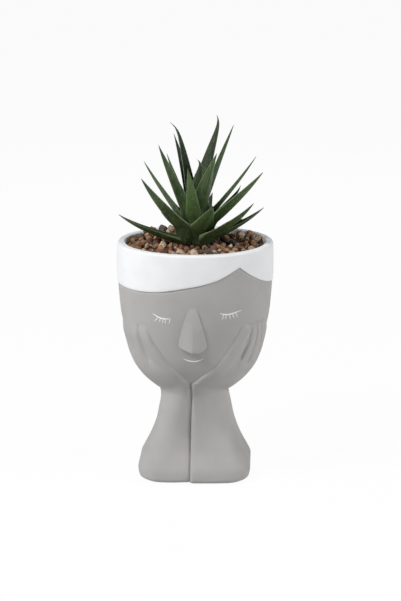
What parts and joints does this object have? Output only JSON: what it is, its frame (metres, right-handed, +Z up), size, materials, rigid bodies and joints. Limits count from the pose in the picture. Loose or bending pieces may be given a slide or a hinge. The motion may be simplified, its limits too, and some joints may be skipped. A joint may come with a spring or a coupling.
{
  "type": "head planter",
  "caption": "Small planter cast as a sleeping head resting in two hands, with a white hair band, gravel and a spiky leaf rosette that lift out.",
  "frame": {"origin": "on the floor, under the foot pads, on the bowl's axis", "axes": "+Z up, the face looks along -Y, +X towards the viewer's right when facing the face"},
  "size_m": [0.1007, 0.1008, 0.2341],
  "materials": {
    "painted_casting": "matte grey body with a matte white band at the rim",
    "felt": "pressed felt",
    "foam": null,
    "glue": "set glue mixed with grit",
    "stone_tan": "rough gravel",
    "stone_rust": "rough gravel",
    "stone_dark": "rough gravel",
    "stone_cream": "rough gravel",
    "stem": "moulded, matte",
    "leaf": "moulded, satin with a pale bloom"
  },
  "bodies": {
    "pot": {"pot": "painted_casting", "foot_pads": "felt"},
    "insert": {"foam_plug": "foam", "glue_bed": "glue", "gravel_tan": "stone_tan", "gravel_rust": "stone_rust", "gravel_dark": "stone_dark", "gravel_cream": "stone_cream"},
    "plant": {"crown_core": "stem", "leaf_01": "leaf", "leaf_02": "leaf", "leaf_03": "leaf", "leaf_04": "leaf", "leaf_05": "leaf", "leaf_06": "leaf", "leaf_07": "leaf", "leaf_08": "leaf", "leaf_09": "leaf", "leaf_10": "leaf", "leaf_11": "leaf", "leaf_12": "leaf", "leaf_13": "leaf", "leaf_14": "leaf", "leaf_15": "leaf", "leaf_16": "leaf", "leaf_17": "leaf", "leaf_18": "leaf", "leaf_19": "leaf", "leaf_20": "leaf", "leaf_21": "leaf", "leaf_22": "leaf", "leaf_23": "leaf", "leaf_24": "leaf", "leaf_25": "leaf"}
  },
  "joints": [
    {"name": "insert_lift", "type": "slide", "parent": "pot", "child": "insert", "axis": [0, 0, 1], "range_m": [0, 0.09]},
    {"name": "plant_pull", "type": "slide", "parent": "insert", "child": "plant", "axis": [0, 0, 1], "range_m": [0, 0.05]}
  ]
}
